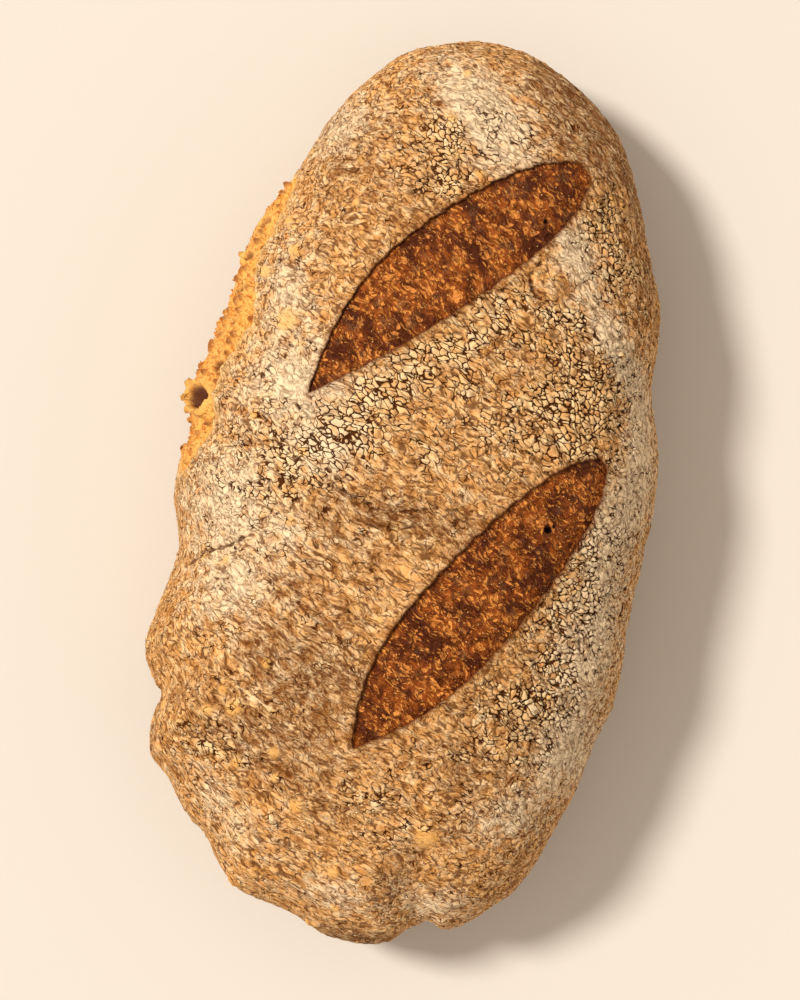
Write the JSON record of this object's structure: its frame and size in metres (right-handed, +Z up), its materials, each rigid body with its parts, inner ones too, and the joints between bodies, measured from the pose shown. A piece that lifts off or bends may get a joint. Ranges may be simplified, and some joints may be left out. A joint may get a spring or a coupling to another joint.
{
  "type": "country loaf",
  "caption": "Long country loaf with slashed crackled crust, a torn crumb side and a flat base to rest on a table or shelf",
  "frame": {"origin": "middle of the loaf's box in plan, on the plane of its flat base", "axes": "+Z up from the base, +Y along the loaf towards the end with the upper slash, +X to the side opposite the torn one"},
  "size_m": [0.1578, 0.2995, 0.0926],
  "materials": {
    "crust": null
  },
  "bodies": {
    "root": {"loaf": "crust"}
  },
  "joints": []
}
